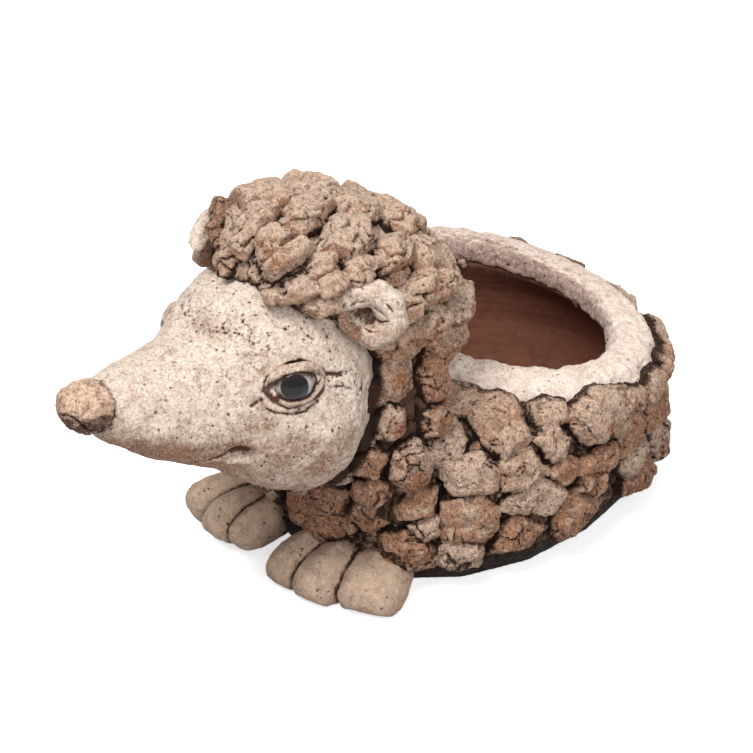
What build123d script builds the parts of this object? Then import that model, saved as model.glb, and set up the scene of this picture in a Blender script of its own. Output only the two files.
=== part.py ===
"""Animal shaped planter: a hedgehog of rough fired clay that carries a planting bowl in its back.

The frame's origin is the drain hole's centre, under the bowl's foot. The nose points to -Y, the animal's
left is +X, and +Z is up. Lengths are in millimetres and angles in degrees.
"""

from build123d import *
import math
import os

# Bowl: the half width (X), half length (Y), height and centre of its outer wall at each level
foot_half_width = 82
foot_half_length = 106
foot_centre_y = 10
heel_half_width = 88
heel_half_length = 110
heel_height = 12
lowest_clod_height = 15
belly_half_width = 88
belly_half_length = 107
belly_height = 46
belly_centre_y = 8
shoulder_half_width = 88
shoulder_half_length = 98
shoulder_height = 72
shoulder_centre_y = 12
neck_half_width = 89
neck_half_length = 79
neck_height = 84
mouth_centre_y = 26
mouth_drop_left_angle = 7
mouth_drop_rear_angle = 4
wall_thickness = 11
floor_thickness = 13
drain_radius = 6
mouth_half_width = 66
mouth_half_length = 55
inner_heel_height = 26
inner_shoulder_height = 65
rim_height = 12
wall_facets = 18
core_facets = 12
oval_power_share = 0.92
cavity_floor_share = 0.94
cavity_heel_share = 0.965
cavity_shoulder_share = 0.97

# Head: one modelled form from nape to muzzle
head_nape_y = -74
head_length = 140
head_half_width = 50
head_height = 97
head_base_height = 66

# Nose, eyes and eyelids
nose_radius = 12.5
nose_flat_share = 0.86
nose_forward = 141
nose_height = 66
eye_radius = 9.5
eye_depth = 5.5
eye_opening = 25
lid_radius = 2.6
lid_seat = 3.8
upper_lid_rise = 7
lower_lid_drop = 6
ball_sides = 12
ball_bands = 5
lid_sides = 4
lid_steps = 5

# Ears: a C-shaped roll round a hollow, on a dish that closes its back. The right one sits further forward
# and higher
ear_radius = 12
ear_roll = 5
ear_dish_depth = 14
ear_height = 84
ear_back = 34
ear_reach = 47
right_ear_forward = 5
right_ear_rise = 5.5
ear_sides = 6

# Neck and mane core, which the clods are pressed on
throat_half_width = 54
throat_half_length = 36
throat_centre_y = -78
throat_top = 120
mane_half_width = 46
mane_front_y = -134
mane_length = 108
mane_top = 187
mane_seat = 92

# Paws
toe_height = 22
toe_length = 42
toe_radius = 13
toe_sides = 7
right_paw_lift = 4

# Clay clods pressed on the wall, the neck and the mane
clod_width = 30
clod_height = 19
clod_thickness = 7
clod_joint = 1.8
clod_sink = 4
lock_width = 18
lock_length = 28
lock_thickness = 8
lock_sink = 6
clod_corners = 6

least_edge = 5
flatness = 0.0004
probe = 0.5
seat_gap = 0.3
overrun = 20


def facet(points):
    return Face(Wire.make_polygon(points, close=True))


def flat_quad(a, b, c, d):
    normal = (b - a).cross(c - a).normalized()
    return abs((d - a).dot(normal)) < flatness


def facet_solid(rings):
    """A closed solid through rings of points with one count each, capped at its first and last ring."""
    count = len(rings[0])
    faces = [facet(rings[0][::-1]), facet(rings[-1])]
    for low, high in zip(rings, rings[1:]):
        for k in range(count):
            a, b = low[k], low[(k + 1) % count]
            c, d = high[(k + 1) % count], high[k]
            if flat_quad(a, b, c, d):
                faces.append(facet([a, b, c, d]))
            else:
                faces.append(facet([a, b, c]))
                faces.append(facet([a, c, d]))
    return Solid(Shell(faces))


def turned(plane, shape, sides, flat_share=1):
    """A solid of even rings, each (radius, height), about a plane's own axis, or flattened along its Y."""
    rings = []
    for radius, height in shape:
        ring = []
        for k in range(sides):
            angle = math.radians(360 * k / sides)
            x, y = radius * math.cos(angle), flat_share * radius * math.sin(angle)
            ring.append(plane.from_local_coords(Vector(x, y, height)))
        rings.append(ring)
    return facet_solid(rings)


pole_share = 0.4


def ball(plane, radius, flat_share=1):
    """A many-sided ball whose poles are small flats across the plane's axis."""
    shape = []
    for k in range(ball_bands + 1):
        angle = math.radians(180 * (k + pole_share) / (ball_bands + 2 * pole_share) - 90)
        shape.append((radius * math.cos(angle), radius * math.sin(angle)))
    return turned(plane, shape, ball_sides, flat_share)


def wave(number):
    """A share from -1 to 1 that looks hand-made but is the same each time."""
    return math.sin(number * 12.9898) * math.cos(number * 4.1414)


def cut_by(shape, *others):
    """The largest piece of shape that stays outside the others."""
    for other in others:
        if other is None or not overlaps(shape.bounding_box(), other.bounding_box()):
            continue
        left = shape - other
        solids = left.solids() if left else []
        if not solids:
            return None
        shape = max(solids, key=lambda piece: piece.volume)
    return shape if shape.volume > least_edge**3 else None


def overlaps(box, other):
    return all(
        low <= far and near <= high
        for low, high, near, far in zip(tuple(box.min), tuple(box.max), tuple(other.min), tuple(other.max))
    )


def on_side(solid, word):
    """A piece made for the animal's left side, there or as its mirror image on the right."""
    return solid if word == "left" else solid.mirror(Plane.YZ)


# Bowl
wall_levels = [
    (0, foot_half_width, foot_half_length, foot_centre_y, 0),
    (heel_height, heel_half_width, heel_half_length, foot_centre_y, 0),
    (belly_height, belly_half_width, belly_half_length, belly_centre_y, 0),
    (shoulder_height, shoulder_half_width, shoulder_half_length, shoulder_centre_y, 0.5),
    (neck_height, neck_half_width, neck_half_length, mouth_centre_y, 1),
]
slope_left = math.tan(math.radians(mouth_drop_left_angle))
slope_rear = math.tan(math.radians(mouth_drop_rear_angle))


def between(levels, height):
    """The row of a table of levels at a height, in straight lines between its rows."""
    for low, high in zip(levels, levels[1:]):
        if height <= high[0] or high is levels[-1]:
            share = (height - low[0]) / (high[0] - low[0])
            return [a + share * (b - a) for a, b in zip(low, high)]


def oval_share(angle):
    """The X and Y shares of a slightly squared oval at an angle."""
    c, s = math.cos(math.radians(angle)), math.sin(math.radians(angle))
    x = math.copysign(abs(c) ** oval_power_share, c)
    y = math.copysign(abs(s) ** oval_power_share, s)
    return x, y


def level_point(angle, level):
    """The point of a wall level at an angle. Angle 0 is the animal's left, and -90 its front."""
    height, half_width, half_length, centre_y, lean = level
    share_x, share_y = oval_share(angle)
    x, y = half_width * share_x, half_length * share_y
    return Vector(x, centre_y + y, height - lean * (x * slope_left + y * slope_rear))


def wall_profile(angle):
    """The wall's slope line at an angle, from the lowest clods to the rim, as (climb, point) rows."""
    low, high = level_point(angle, wall_levels[1]), level_point(angle, wall_levels[2])
    points = [low + (high - low) * ((lowest_clod_height - heel_height) / (belly_height - heel_height))]
    points += [level_point(angle, level) for level in wall_levels[2:]]
    rows = [(0, points[0])]
    for start, end in zip(points, points[1:]):
        rows.append((rows[-1][0] + (end - start).length, end))
    return rows


def wall_climb(angle):
    return wall_profile(angle)[-1][0]


def wall_point(angle, climb):
    """A point of the bowl's outer wall, by the angle round it and the way climbed up it."""
    rows = wall_profile(angle)
    for (low, start), (high, end) in zip(rows, rows[1:]):
        if climb <= high or high == rows[-1][0]:
            return start + (end - start) * ((climb - low) / (high - low))


def make_wall_core():
    rings = []
    for level in wall_levels:
        rings.append([level_point(360 * k / wall_facets, level) for k in range(wall_facets)])
    return facet_solid(rings)


mouth_plane = Plane(
    origin=(0, mouth_centre_y, neck_height), x_dir=(1, 0, -slope_left), z_dir=(slope_left, slope_rear, 1)
)


def oval_at(plane, half_width, half_length):
    return plane * Ellipse(half_width, half_length)


def inner_oval(height, half_width, half_length, centre_y, share):
    """An oval of the planting space, which takes a share of the room inside the wall."""
    level = Plane(origin=(0, centre_y, height))
    return oval_at(level, share * (half_width - wall_thickness), share * (half_length - wall_thickness))


def make_cavity():
    """The planting space: a thrown bowl that draws in under the mouth."""
    sections = [
        inner_oval(floor_thickness, foot_half_width, foot_half_length, foot_centre_y, cavity_floor_share),
        inner_oval(inner_heel_height, belly_half_width, belly_half_length, foot_centre_y, cavity_heel_share),
        inner_oval(belly_height, belly_half_width, belly_half_length, belly_centre_y, 1),
        inner_oval(
            inner_shoulder_height, shoulder_half_width, shoulder_half_length, shoulder_centre_y,
            cavity_shoulder_share,
        ),
        oval_at(mouth_plane.offset(-seat_gap), mouth_half_width, mouth_half_length),
        oval_at(mouth_plane.offset(overrun), mouth_half_width, mouth_half_length),
    ]
    return loft(sections, ruled=True)


# The rim's section from its outer foot over the crest to the mouth, as shares of its width and height
rim_outer_shares = [(0, 0), (0, 0.45), (0.18, 0.85), (0.55, 1)]
rim_inner_shares = [(0.55, 1), (0.88, 0.85), (1, 0.5), (1, 0)]


def rim_oval(across_share, height_share):
    half_width = neck_half_width + across_share * (mouth_half_width - neck_half_width)
    half_length = neck_half_length + across_share * (mouth_half_length - neck_half_length)
    return oval_at(mouth_plane.offset(height_share * rim_height), half_width, half_length)


def make_rim():
    outer = loft([rim_oval(*share) for share in rim_outer_shares], ruled=True)
    inner = loft([rim_oval(*share) for share in rim_inner_shares], ruled=True)
    return outer, outer - inner


# Head: stations from nape to muzzle, each with its place along the head, its half widths at brow and
# cheek, and its heights at the top, brow, cheek and chin
head_station_shares = [
    (0.01, 0.40, 0.34, 0.75, 0.58, 0.45, 0.35), (0.10, 0.66, 0.60, 0.92, 0.60, 0.34, 0.19),
    (0.21, 0.86, 0.88, 1.00, 0.60, 0.31, 0.07), (0.31, 0.93, 1.02, 1.01, 0.60, 0.29, 0.01),
    (0.41, 0.89, 1.02, 0.99, 0.60, 0.28, 0.00), (0.50, 0.79, 0.88, 0.94, 0.60, 0.29, 0.05),
    (0.59, 0.64, 0.72, 0.86, 0.58, 0.33, 0.13), (0.66, 0.56, 0.65, 0.79, 0.57, 0.39, 0.23),
    (0.87, 0.38, 0.43, 0.775, 0.63, 0.52, 0.39), (0.95, 0.28, 0.30, 0.765, 0.66, 0.58, 0.48),
    (1.00, 0.17, 0.17, 0.735, 0.67, 0.62, 0.54),
]


def head_section(station):
    along, brow, cheek, top, brow_height, cheek_height, chin = station
    y = head_nape_y - along * head_length

    def at(x_share, z_share):
        return Vector(x_share * head_half_width, y, head_base_height + z_share * head_height)

    side = [
        (0.66 * brow, brow_height + 0.74 * (top - brow_height)),
        (brow, brow_height),
        (cheek, cheek_height),
        (0.72 * cheek, chin + 0.16 * (cheek_height - chin)),
    ]
    left = [at(x, z) for x, z in side]
    right = [at(-x, z) for x, z in side]
    return Face(Wire([Spline(at(0, top), *left, at(0, chin), *right[::-1], periodic=True)]))


def make_head():
    return loft([head_section(station) for station in head_station_shares], ruled=True)


nose_look = (0, -1, 0.25)


def make_nose():
    origin = (0, head_nape_y - nose_forward, head_base_height + nose_height)
    return ball(Plane(origin=origin, x_dir=(1, 0, 0), z_dir=nose_look), nose_radius, nose_flat_share)


# Eyes: the middle of the left eye's opening as shares of the head, the way that it looks and its long axis
eye_place_shares = (0.81, 0.485, 0.63)
eye_look = (0.86, -0.5, 0.1)
eye_along = (0.55, 0.83, 0.1)
lid_end_share = 0.45
lid_slant_share = 0.5


def eye_plane():
    share_x, share_y, share_z = eye_place_shares
    look = Vector(eye_look).normalized()
    y, z = head_nape_y - share_y * head_length, head_base_height + share_z * head_height
    surface = Vector(share_x * head_half_width, y, z)
    return Plane(origin=surface - look * eye_depth, x_dir=eye_along, z_dir=look)


def make_lid(rise):
    """One rolled lid, from the eye's inner corner over or under the ball to its outer corner."""
    plane = eye_plane()
    rings = []
    for k in range(lid_steps + 1):
        turn = math.radians(180 * k / lid_steps)
        x = -math.cos(turn) * eye_opening / 2
        y = rise * math.sin(turn)
        seat = math.sqrt(max(eye_radius**2 - x**2 - y**2, lid_seat**2))
        radius = lid_radius * (lid_end_share + (1 - lid_end_share) * math.sin(turn))
        ring = []
        for m in range(lid_sides):
            angle = math.radians(360 * m / lid_sides)
            out = radius * math.cos(angle)
            place = Vector(
                x - lid_slant_share * out * math.cos(turn),
                y + math.copysign(out, rise * out),
                seat + radius * math.sin(angle),
            )
            ring.append(plane.from_local_coords(place))
        rings.append(ring)
    return facet_solid(rings)


# The ear's roll from its lower end round the back and over the top to its front tip: the angle, the
# distance from the middle in ear radii, and the roll's own radius and height in ear rolls
ear_look = (0.86, -0.42, 0.28)
ear_along = (0.44, 0.90, 0)
ear_roll_shares = [
    (-108, 0.70, 0.62, 0.0), (-84, 0.86, 0.86, 0.1), (-54, 0.95, 1.05, 0.2), (-22, 1.0, 1.30, 0.3),
    (18, 0.86, 1.35, 0.3), (55, 0.78, 1.10, 0.2), (92, 0.74, 0.96, 0.1), (132, 0.86, 0.90, 0),
    (160, 1.22, 0.66, -0.1), (166, 1.46, 0.36, -0.3),
]
ear_dish_shares = [(0.35, -1), (0.80, -0.35), (0.92, -0.08)]


def make_ear():
    origin = (ear_reach, head_nape_y - ear_back, head_base_height + ear_height)
    plane = Plane(origin=origin, x_dir=ear_along, z_dir=ear_look)
    rings = []
    for angle, distance, roll, height in ear_roll_shares:
        turn = math.radians(angle)
        ring = []
        for k in range(ear_sides):
            side = math.radians(360 * k / ear_sides)
            reach = distance * ear_radius + roll * ear_roll * math.cos(side)
            rise = (height - roll * math.sin(side)) * ear_roll
            place = Vector(reach * math.cos(turn), reach * math.sin(turn), rise)
            ring.append(plane.from_local_coords(place))
        rings.append(ring)
    dish = turned(plane, [(r * ear_radius, h * ear_dish_depth) for r, h in ear_dish_shares], ball_sides)
    return facet_solid(rings) + dish


# Throat and mane core
throat_levels_shares = [(0.34, 0.92, 0.80), (0.60, 1, 1), (0.82, 0.97, 1), (1, 0.82, 0.80)]
mane_station_shares = [
    (0.00, 0.38, 0.83, 0.72, 0.60), (0.05, 0.64, 0.93, 0.70, 0.48), (0.16, 0.80, 0.98, 0.66, 0.38),
    (0.31, 0.90, 0.97, 0.60, 0.25), (0.46, 0.98, 0.93, 0.54, 0.08), (0.63, 1.00, 0.84, 0.48, 0.00),
    (0.79, 0.88, 0.71, 0.40, 0.00), (0.92, 0.62, 0.55, 0.32, 0.06), (1.00, 0.34, 0.40, 0.30, 0.20),
]


def throat_point(angle, height):
    levels = [
        (share * throat_top, width * throat_half_width, length * throat_half_length)
        for share, width, length in throat_levels_shares
    ]
    level, half_width, half_length = between(levels, height)
    share_x, share_y = oval_share(angle)
    return Vector(half_width * share_x, throat_centre_y + half_length * share_y, level)


def make_throat_core():
    rings = []
    for share, _, _ in throat_levels_shares:
        rings.append([throat_point(360 * k / core_facets, share * throat_top) for k in range(core_facets)])
    return facet_solid(rings)


def mane_point(angle, along):
    """A point of the mane core. Angle 0 is its crown, 90 its left side. Along runs back from its front."""
    levels = [(station[0] * mane_length, *station[1:]) for station in mane_station_shares]
    place, width, top, middle, low = between(levels, along)
    c, s = math.cos(math.radians(angle)), math.sin(math.radians(angle))
    rise = (top - middle) if c > 0 else (middle - low)
    height = mane_seat + (mane_top - mane_seat) * (middle + rise * c)
    return Vector(width * mane_half_width * s, mane_front_y + place, height)


def make_mane_core():
    rings = []
    for station in mane_station_shares:
        along = station[0] * mane_length
        rings.append([mane_point(360 * k / core_facets, along) for k in range(core_facets)])
    return facet_solid(rings)


# Toes, from each paw's inner toe outwards: the tip's place and the half width in toe radii, and the way
# it points
toe_shares = {
    "left": [(0.55, -10.0, 0.85, 0), (2.1, -9.95, 1.0, 8), (4.1, -9.05, 1.3, 26)],
    "right": [(1.8, -9.8, 0.60, 0), (3.0, -9.95, 0.95, 6), (4.7, -9.5, 1.0, 22)],
}
toe_station_shares = [
    (0, 0.80, 0, 0.85), (0.40, 0.98, 0, 1), (0.68, 1, 0, 0.98), (0.87, 0.86, 0.06, 0.86),
    (0.97, 0.58, 0.22, 0.72), (1, 0.30, 0.36, 0.58),
]
toe_first_angle = -30
toe_last_angle = 210


def make_toe(tip_x, tip_y, width, turn):
    """One toe of the left paw: round above, flat below, and blunt at its tip."""
    direction = Vector(math.sin(math.radians(turn)), -math.cos(math.radians(turn)), 0)
    across = Vector(-direction.Y, direction.X, 0)
    tip = Vector(tip_x * toe_radius, tip_y * toe_radius, 0)
    lowest = math.sin(math.radians(toe_first_angle))
    rings = []
    for along, wide, low, high in toe_station_shares:
        centre = tip - direction * ((1 - along) * toe_length)
        ring = []
        for k in range(toe_sides):
            angle = math.radians(toe_first_angle + (toe_last_angle - toe_first_angle) * k / (toe_sides - 1))
            rise = low + (high - low) * (math.sin(angle) - lowest) / (1 - lowest)
            spread = wide * width * toe_radius * math.cos(angle)
            ring.append(centre + across * spread + Vector(0, 0, rise * toe_height))
        rings.append(ring)
    return facet_solid(rings)


# Clods: how far an outline reaches past its oval, how uneven it is, and its rings as shares of width and
# thickness
clod_reach_share = 1.18
clod_wave_share = 0.08
clod_lean_share = 0.15
clod_uneven_share = 0.25
clod_ring_shares = [(0.98, 0.45), (0.66, 1)]
neighbour_reach_share = 3
wall_first_seed = 0
neck_first_seed = 300
mane_first_seed = 500


def lay(surface, reach, mean_radius, shares, sizes, first_seed):
    """Clods of one surface, from rows of (angle, share of the reach, width, height, turn)."""
    width, height, thickness, sink = sizes
    arc = math.radians(1) * mean_radius
    clods = []
    for seed, (angle, share, wide, high, turn) in enumerate(shares, first_seed):
        level = share * reach(angle)
        clods.append({
            "surface": surface, "angle": angle, "level": level, "share": share, "width": wide * width,
            "height": high * height, "turn": turn, "sink": sink, "arc": arc, "along": angle * arc,
            "thickness": thickness * (1 + clod_uneven_share * wave(seed)), "seed": seed,
        })
    return clods


def oval_reach(clod, direction_x, direction_y):
    """How far an oval clod reaches from its centre in a direction."""
    turn = math.radians(clod["turn"])
    along = direction_x * math.cos(turn) + direction_y * math.sin(turn)
    up = direction_y * math.cos(turn) - direction_x * math.sin(turn)
    return 1 / math.hypot(2 * along / clod["width"], 2 * up / clod["height"])


def clip(outline, normal_x, normal_y, limit):
    """The part of an outline on the near side of a line."""
    kept = []
    for k, (x, y) in enumerate(outline):
        next_x, next_y = outline[(k + 1) % len(outline)]
        here = x * normal_x + y * normal_y - limit
        there = next_x * normal_x + next_y * normal_y - limit
        if here <= 0:
            kept.append((x, y))
        if here * there < 0:
            share = here / (here - there)
            kept.append((x + share * (next_x - x), y + share * (next_y - y)))
    return kept


def without_short_edges(outline):
    tidy = []
    for x, y in outline:
        if not tidy or math.hypot(x - tidy[-1][0], y - tidy[-1][1]) > least_edge:
            tidy.append((x, y))
    if len(tidy) > 1 and math.hypot(tidy[0][0] - tidy[-1][0], tidy[0][1] - tidy[-1][1]) < least_edge:
        tidy.pop()
    return tidy


def clod_outline(clod, others):
    """An oval clod's outline, cut straight where it would run into its neighbours."""
    turn = math.radians(clod["turn"])
    outline = []
    for k in range(clod_corners):
        angle = math.radians(360 * (k + 0.5) / clod_corners)
        reach = clod_reach_share + clod_wave_share * wave(clod["seed"] + 3 * k)
        x = reach * clod["width"] / 2 * math.cos(angle)
        y = reach * clod["height"] / 2 * math.sin(angle)
        outline.append((x * math.cos(turn) - y * math.sin(turn), x * math.sin(turn) + y * math.cos(turn)))
    half_round = 180 * clod["arc"]
    for other in others:
        away_x, away_y = other["along"] - clod["along"], other["level"] - clod["level"]
        away_x = (away_x + half_round) % (2 * half_round) - half_round
        distance = math.hypot(away_x, away_y)
        if distance == 0 or distance > neighbour_reach_share * clod_width:
            continue
        unit_x, unit_y = away_x / distance, away_y / distance
        mine, theirs = oval_reach(clod, unit_x, unit_y), oval_reach(other, unit_x, unit_y)
        limit = distance * mine / (mine + theirs) - clod_joint / 2
        outline = clip(outline, unit_x, unit_y, limit)
    return without_short_edges(outline)


def make_clod(clod, others):
    """One clod on its own tangent plane, with a shoulder and a smaller worn top."""
    outline = clod_outline(clod, others)
    if len(outline) <= 3:
        return None
    surface, a, b = clod["surface"], clod["angle"], clod["level"]
    centre = surface(a, b)
    side_step = (surface(a + probe, b) - surface(a - probe, b)) / (2 * probe)
    up_step = (surface(a, b + probe) - surface(a, b - probe)) / (2 * probe)
    plane = Plane(origin=centre, x_dir=side_step, z_dir=side_step.cross(up_step))
    stretch_x, stretch_y = side_step.length / clod["arc"], up_step.length
    lean_x = clod_lean_share * clod["width"] * wave(clod["seed"] + 1)
    lean_y = clod_lean_share * clod["height"] * wave(clod["seed"] + 2)
    levels = [(1, -clod["sink"])] + [(share, rise * clod["thickness"]) for share, rise in clod_ring_shares]
    rings = []
    for share, height in levels:
        shift_x, shift_y = (1 - share) * lean_x, (1 - share) * lean_y
        ring = []
        for x, y in outline:
            place = Vector(share * x * stretch_x + shift_x, share * y * stretch_y + shift_y, height)
            ring.append(plane.from_local_coords(place))
        rings.append(ring)
    return facet_solid(rings)


# Clods laid by eye on the animal's left side: the angle round the bowl, the share of the way up to the
# rim, the width and height in shares of clod_width and clod_height, and the turn
left_clod_shares = [
    (-45, 0.88, 1.04, 1.45, -6), (-21, 0.71, 0.50, 0.95, 20), (-33, 0.98, 0.60, 0.80, 0),
    (-12, 0.92, 1.00, 1.15, 5), (9, 0.60, 0.90, 1.15, 20), (-3, 0.50, 0.90, 0.70, 5),
    (-29, 0.56, 0.82, 0.80, 12), (-16, 0.51, 0.66, 0.62, -4), (-5, 0.33, 0.50, 0.74, 0),
    (-21, 0.36, 1.35, 1.12, 8), (-10, 0.18, 0.92, 1.05, 35), (-41, 0.27, 1.08, 1.35, -18),
    (-26, 0.15, 1.02, 0.85, 18), (-42, 0.53, 1.04, 1.05, -10), (-57, 0.73, 0.84, 1.28, -20),
    (-71, 0.76, 0.70, 1.25, 80), (-62, 0.49, 0.74, 0.95, -10), (-55, 0.36, 0.80, 0.72, 18),
    (-34, 0.70, 0.70, 0.55, 15), (27, 0.33, 0.66, 1.20, 80), (15, 0.12, 0.92, 0.80, 0),
    (24, 0.62, 0.84, 0.95, 80), (-62, 0.95, 0.88, 0.95, 10), (-84, 0.20, 1.18, 1.45, 10),
    (-69, 0.30, 0.64, 1.05, 0), (-57, 0.10, 0.92, 0.92, -6), (-53, 0.23, 0.62, 0.56, 10),
    (-82, 0.92, 0.70, 1.05, 60), (-43, 0.07, 0.78, 0.72, -10), (-71, 0.52, 0.58, 0.80, 0),
    (-82, 0.46, 0.70, 0.80, 0), (-104, 0.20, 0.50, 1.60, 0), (-116, 0.22, 0.50, 1.60, 8),
    (-95, 0.48, 0.70, 0.95, 0), (-110, 0.50, 0.75, 0.95, 0), (-93, 0.72, 0.80, 1.10, 10),
    (4, 0.80, 0.80, 1.10, 70), (16, 0.88, 0.72, 1.05, 80), (28, 0.90, 0.72, 1.05, 80),
    (12, 0.34, 0.70, 0.80, 30),
]

# The rows of clods that go on round the tail and the right side
clod_rows = 5
rear_columns = 10
rear_start = 36
rear_end = 238
rear_width_share = 1.15
rear_height_share = 0.95
rear_scatter_share = 0.2
rear_turn = 16


def rear_clod_shares():
    pitch = (rear_end - rear_start) / rear_columns
    rows = []
    for row in range(clod_rows):
        for column in range(rear_columns):
            seed = rear_columns * row + column
            shift = 0.5 * (row % 2) + rear_scatter_share * wave(seed)
            rows.append((
                rear_start + pitch * (column + shift),
                (row + 0.5 + rear_scatter_share * wave(seed + 0.4)) / clod_rows,
                rear_width_share * (1 + rear_scatter_share * wave(seed + 0.7)),
                rear_height_share * (1 + rear_scatter_share * wave(seed + 0.9)),
                rear_turn * wave(seed + 0.2),
            ))
    return rows


# Clods of the neck, laid by eye on its left side in the same way and repeated on its right side
neck_clod_shares = [
    (-20, 0.94, 0.62, 0.95, 0), (-26, 0.79, 0.46, 0.85, 0), (-36, 0.88, 0.36, 0.60, 0),
    (10, 0.88, 0.70, 1.05, 0), (6, 0.74, 0.62, 0.80, 0), (-38, 0.63, 0.55, 0.75, 0),
    (-14, 0.60, 0.70, 1.05, -16), (-38, 0.50, 0.55, 0.65, 0), (-44, 0.40, 0.60, 0.70, 7),
    (-46, 0.75, 0.45, 0.85, 0), (-62, 0.60, 0.70, 1.00, 0), (-64, 0.44, 0.70, 0.90, 0),
    (-84, 0.50, 0.75, 1.10, 0),
]

# Locks of the mane: those along its crown, those round its front, and those of its left side, which are
# repeated on its right side. The angle starts at the crown, and the share runs back from the mane's front
crown_lock_shares = [
    (-8, 0.16, 1.05, 1.25, 27), (-4, 0.42, 1.40, 1.25, 80), (8, 0.05, 0.85, 0.80, 27),
    (24, 0.20, 1.50, 0.75, -76), (20, 0.47, 1.10, 0.85, -80), (34, 0.06, 0.70, 0.80, 14),
    (-12, 0.03, 0.55, 0.85, -21), (24, 0.66, 1.00, 1.30, 60), (-4, 0.70, 1.30, 1.30, 75),
    (28, 0.90, 1.10, 1.20, 60), (0, 0.92, 1.20, 1.30, 80), (-24, 0.24, 1.10, 1.10, 70),
    (-26, 0.55, 1.20, 1.20, 80), (-28, 0.84, 1.20, 1.20, 80),
]
left_front_lock_shares = [
    (42, 0.30, 1.70, 0.90, -76), (48, 0.08, 0.75, 0.60, -80), (60, 0.14, 0.65, 0.55, -66),
    (66, 0.26, 0.80, 0.55, -68), (74, 0.15, 0.60, 0.50, -62), (78, 0.05, 0.55, 0.60, -80),
    (90, 0.11, 0.50, 0.50, 80),
]
right_front_lock_shares = [(-40, 0.34, 1.20, 0.90, 76), (-46, 0.11, 0.70, 0.70, 78)]
side_lock_shares = [
    (54, 0.47, 1.00, 0.65, -76), (54, 0.68, 1.35, 1.15, 85), (73, 0.60, 1.30, 0.80, 85),
    (86, 0.44, 0.90, 0.60, 80), (97, 0.58, 0.75, 0.90, -88), (112, 0.44, 0.60, 0.80, -73),
    (112, 0.72, 0.90, 1.10, 82), (88, 0.80, 0.90, 0.85, 84), (62, 0.89, 0.90, 1.20, 80),
]


def with_mirror(shares, middle_angle):
    """Rows of clods and the same rows on the other side of an angle."""
    other_side = []
    for angle, share, wide, high, turn in shares:
        other_side.append((2 * middle_angle - angle, share, wide, high, -turn))
    return shares + other_side


def bowl_clods():
    mean_radius = (belly_half_width + belly_half_length) / 2
    sizes = (clod_width, clod_height, clod_thickness, clod_sink)
    shares = left_clod_shares + rear_clod_shares()
    return lay(wall_point, wall_climb, mean_radius, shares, sizes, wall_first_seed)


def neck_clods():
    mean_radius = (throat_half_width + throat_half_length) / 2
    sizes = (clod_width, clod_height, clod_thickness, clod_sink)
    shares = with_mirror(neck_clod_shares, -90)
    return lay(throat_point, lambda angle: throat_top, mean_radius, shares, sizes, neck_first_seed)


def mane_locks():
    sizes = (lock_length, lock_width, lock_thickness, lock_sink)
    front_shares = left_front_lock_shares + right_front_lock_shares
    shares = crown_lock_shares + front_shares + with_mirror(side_lock_shares, 0)
    return lay(mane_point, lambda angle: mane_length, mane_half_width, shares, sizes, mane_first_seed)


def press_on(clods, *cores):
    """The clods of one surface, each cut to meet what it is pressed on, or None where no room is left."""
    pieces = []
    for clod in clods:
        solid = make_clod(clod, clods)
        pieces.append(solid and cut_by(solid, *cores, *pieces))
    return pieces


def save(name, *solids):
    solids = [solid for solid in solids if solid is not None]
    shape = solids[0] if len(solids) == 1 else Compound(children=solids)
    shape.label = name
    export_step(shape, f"parts/{name}.step")


def save_rows(names, clods, pieces):
    """Saves clods in as many nodes as there are names, by the share of the way along their surface."""
    for number, name in enumerate(names):
        low, high = number / len(names), (number + 1) / len(names)
        save(name, *[piece for clod, piece in zip(clods, pieces) if low <= clod["share"] < high])


def make_bowl(wall_core):
    drain = Pos(0, 0, floor_thickness / 2) * Cylinder(drain_radius, floor_thickness + overrun)
    return wall_core - make_cavity() - drain


def main():
    os.makedirs("parts", exist_ok=True)
    wall_core = make_wall_core()
    rim_outer, rim = make_rim()
    head_form = make_head()
    throat_form = make_throat_core()
    mane_form = make_mane_core()
    bulk = [wall_core, rim_outer, head_form, throat_form, mane_form]
    save("pot_bowl", make_bowl(wall_core))
    save("rim_coil", rim)
    save("nose", cut_by(make_nose(), head_form))
    save("throat", cut_by(throat_form, wall_core, rim_outer, head_form))
    save("mane_core", cut_by(mane_form, wall_core, rim_outer, head_form, throat_form))

    eye = ball(eye_plane(), eye_radius)
    upper_lid, lower_lid = make_lid(upper_lid_rise), make_lid(-lower_lid_drop)
    save("head", cut_by(head_form, wall_core, eye, on_side(eye, "right")))
    ears = []
    toes = []
    for word in ("left", "right"):
        ball_here = on_side(eye, word)
        upper_here = cut_by(on_side(upper_lid, word), head_form, ball_here)
        save(f"eyeball_{word}", ball_here)
        save(f"eyelid_upper_{word}", upper_here)
        save(f"eyelid_lower_{word}", cut_by(on_side(lower_lid, word), head_form, ball_here, upper_here))
        ear_shift, toe_shift = Pos(0, 0, 0), Pos(0, 0, 0)
        if word == "right":
            ear_shift, toe_shift = Pos(0, -right_ear_forward, right_ear_rise), Pos(0, 0, right_paw_lift)
        ear = cut_by(ear_shift * on_side(make_ear(), word), head_form, mane_form, throat_form)
        ears.append(ear)
        save(f"ear_{word}", ear)
        for number, shares in enumerate(toe_shares[word], 1):
            toe = cut_by(toe_shift * on_side(make_toe(*shares), word), wall_core, *toes)
            toes.append(toe)
            save(f"toe_{word}_{number}", toe)

    clods = bowl_clods()
    wall_pieces = press_on(clods, *bulk, *ears, *toes)
    save_rows([f"wall_clods_row_{row + 1}" for row in range(clod_rows)], clods, wall_pieces)
    neck_pieces = press_on(neck_clods(), *bulk, *ears, *toes, *wall_pieces)
    save("neck_clods", *neck_pieces)
    locks = mane_locks()
    lock_pieces = press_on(locks, *bulk, *ears, *wall_pieces, *neck_pieces)
    save_rows(["mane_locks_front", "mane_locks_crown", "mane_locks_back"], locks, lock_pieces)


main()
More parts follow.
